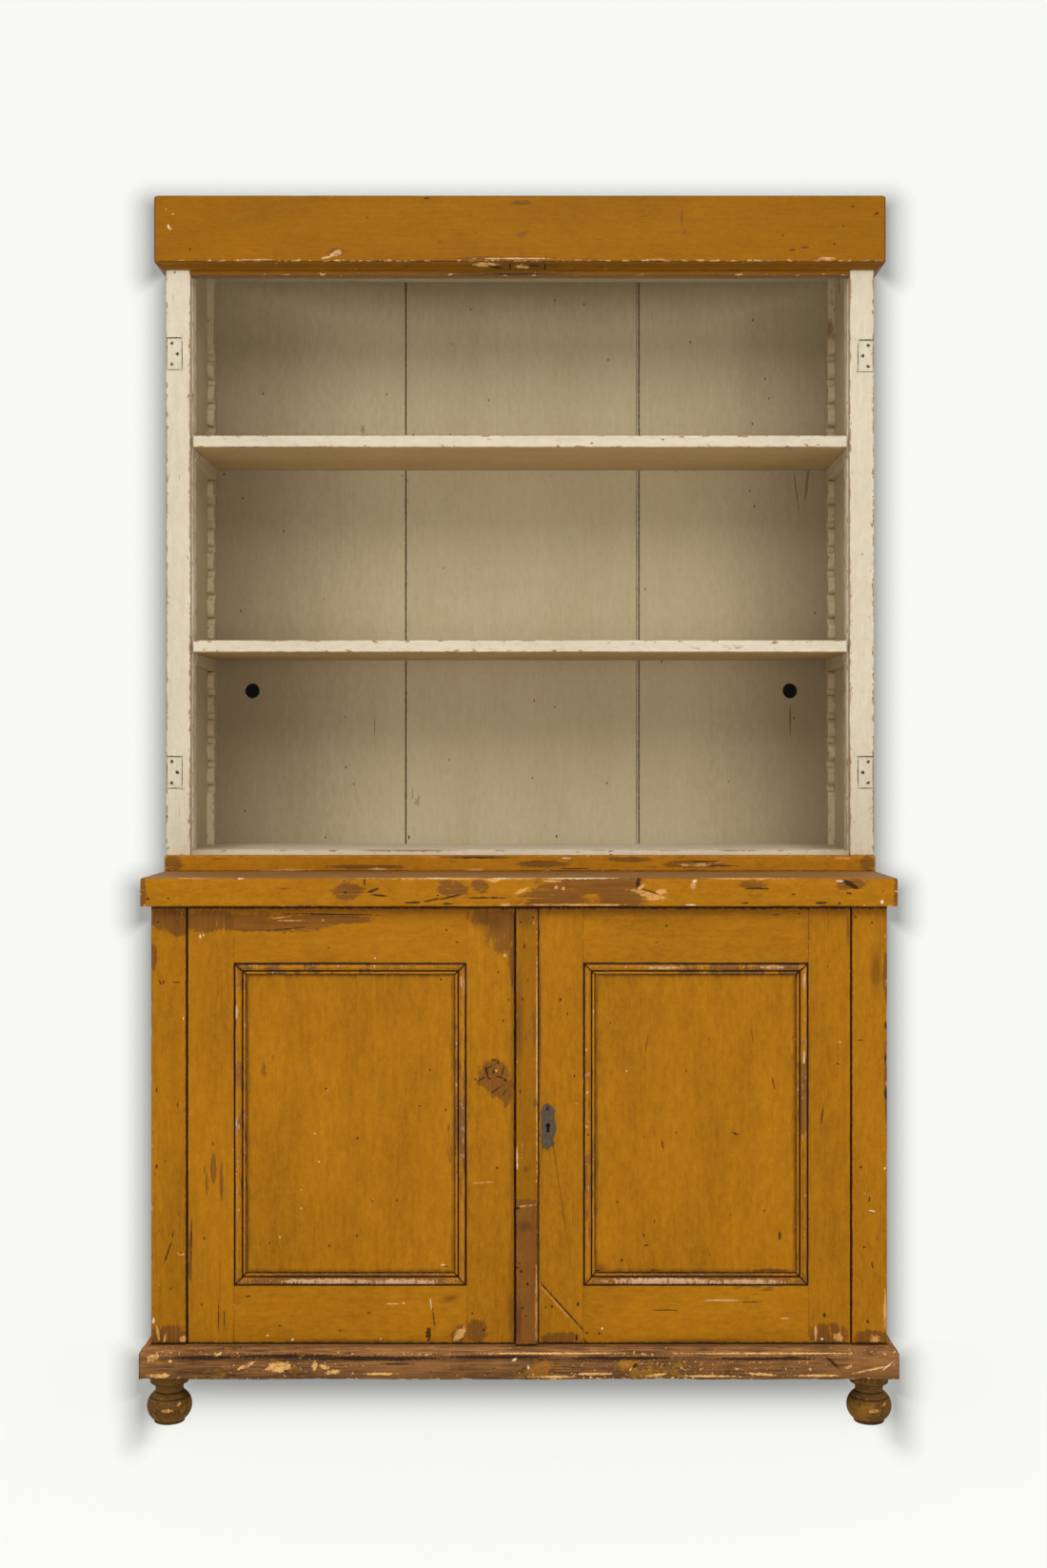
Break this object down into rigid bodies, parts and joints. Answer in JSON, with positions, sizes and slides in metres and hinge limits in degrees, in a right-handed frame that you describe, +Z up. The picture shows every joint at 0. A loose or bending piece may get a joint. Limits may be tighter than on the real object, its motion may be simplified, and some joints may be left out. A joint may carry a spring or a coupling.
{
  "type": "shop cabinet",
  "caption": "Two-stage painted shop cabinet: open notched-rail shelving over a panelled cupboard on turned feet.",
  "frame": {"origin": "on the floor under the middle of the cabinet's bounding box", "axes": "+X to the right and +Z up as seen from the front; the doors face -Y"},
  "size_m": [1.336, 0.504, 2.184],
  "materials": {
    "ochre_paint": "old ochre oil paint on pine, satin, worn at the edges",
    "worn_ochre_paint": "ochre paint worn through to brown wood",
    "cream_paint": "cream oil paint on pine, satin, chipped at the edges",
    "aged_cream_paint": "cream paint of the inside, darkened with age",
    "bare_pine": "unpainted aged pine",
    "iron": "dull wrought iron, darkened"
  },
  "bodies": {
    "carcase": {"plinth_front": "worn_ochre_paint", "plinth_left": "worn_ochre_paint", "plinth_right": "worn_ochre_paint", "foot_front_left": "worn_ochre_paint", "foot_front_right": "worn_ochre_paint", "rear_feet": "bare_pine", "sill_rail": "bare_pine", "bottom_board": "bare_pine", "lower_side_left": "ochre_paint", "lower_side_right": "ochre_paint", "corner_stile_left": "ochre_paint", "corner_stile_right": "ochre_paint", "lower_back_boards": "bare_pine", "cupboard_shelf": "bare_pine", "top_stretcher": "bare_pine", "worktop": "worn_ochre_paint", "base_rail": "ochre_paint", "upper_floor": "cream_paint", "upper_side_left": "ochre_paint", "upper_side_right": "ochre_paint", "face_stile_left": "cream_paint", "face_stile_right": "cream_paint", "head_rail": "ochre_paint", "ceiling_board": "aged_cream_paint", "cornice_front": "ochre_paint", "cornice_left": "ochre_paint", "cornice_right": "ochre_paint", "bed_mould": "worn_ochre_paint", "upper_back_left": "aged_cream_paint", "upper_back_middle": "aged_cream_paint", "upper_back_right": "aged_cream_paint", "notched_rail_front_left": "aged_cream_paint", "notched_rail_front_right": "aged_cream_paint", "notched_rail_rear_left": "aged_cream_paint", "notched_rail_rear_right": "aged_cream_paint", "lower_shelf_battens": "aged_cream_paint", "upper_shelf_battens": "aged_cream_paint"},
    "left_door": {"left_hinge_stile": "ochre_paint", "left_meeting_stile": "ochre_paint", "left_top_rail": "ochre_paint", "left_bottom_rail": "ochre_paint", "left_panel": "ochre_paint", "left_moulding": "worn_ochre_paint", "left_pivots": "iron", "left_bolt_plate": "iron"},
    "right_door": {"right_hinge_stile": "ochre_paint", "right_meeting_stile": "ochre_paint", "right_top_rail": "ochre_paint", "right_bottom_rail": "ochre_paint", "right_panel": "ochre_paint", "right_moulding": "worn_ochre_paint", "right_pivots": "iron", "meeting_strip": "ochre_paint", "strip_patch": "worn_ochre_paint", "escutcheon": "iron", "lock_case": "iron"},
    "lock_bolt": {"lock_bolt": "iron"},
    "left_bolt": {"left_bolt": "iron"},
    "lower_shelf": {"lower_shelf": "cream_paint"},
    "upper_shelf": {"upper_shelf": "cream_paint"}
  },
  "joints": [
    {"name": "left_door_hinge", "type": "hinge", "parent": "carcase", "child": "left_door", "pos_m": [-0.562, -0.223, 0.52], "axis": [0, 0, -1], "range_deg": [0, 115]},
    {"name": "right_door_hinge", "type": "hinge", "parent": "carcase", "child": "right_door", "pos_m": [0.562, -0.223, 0.52], "axis": [0, 0, 1], "range_deg": [0, 115]},
    {"name": "lock_bolt_slide", "type": "slide", "parent": "right_door", "child": "lock_bolt", "axis": [-1, 0, 0], "range_m": [0, 0.01]},
    {"name": "left_bolt_slide", "type": "slide", "parent": "left_door", "child": "left_bolt", "axis": [0, 0, 1], "range_m": [0, 0.014]},
    {"name": "lower_shelf_lift", "type": "slide", "parent": "carcase", "child": "lower_shelf", "axis": [0, 0, 1], "range_m": [0, 0.282]},
    {"name": "upper_shelf_lift", "type": "slide", "parent": "carcase", "child": "upper_shelf", "axis": [0, 0, 1], "range_m": [0, 0.282]}
  ]
}
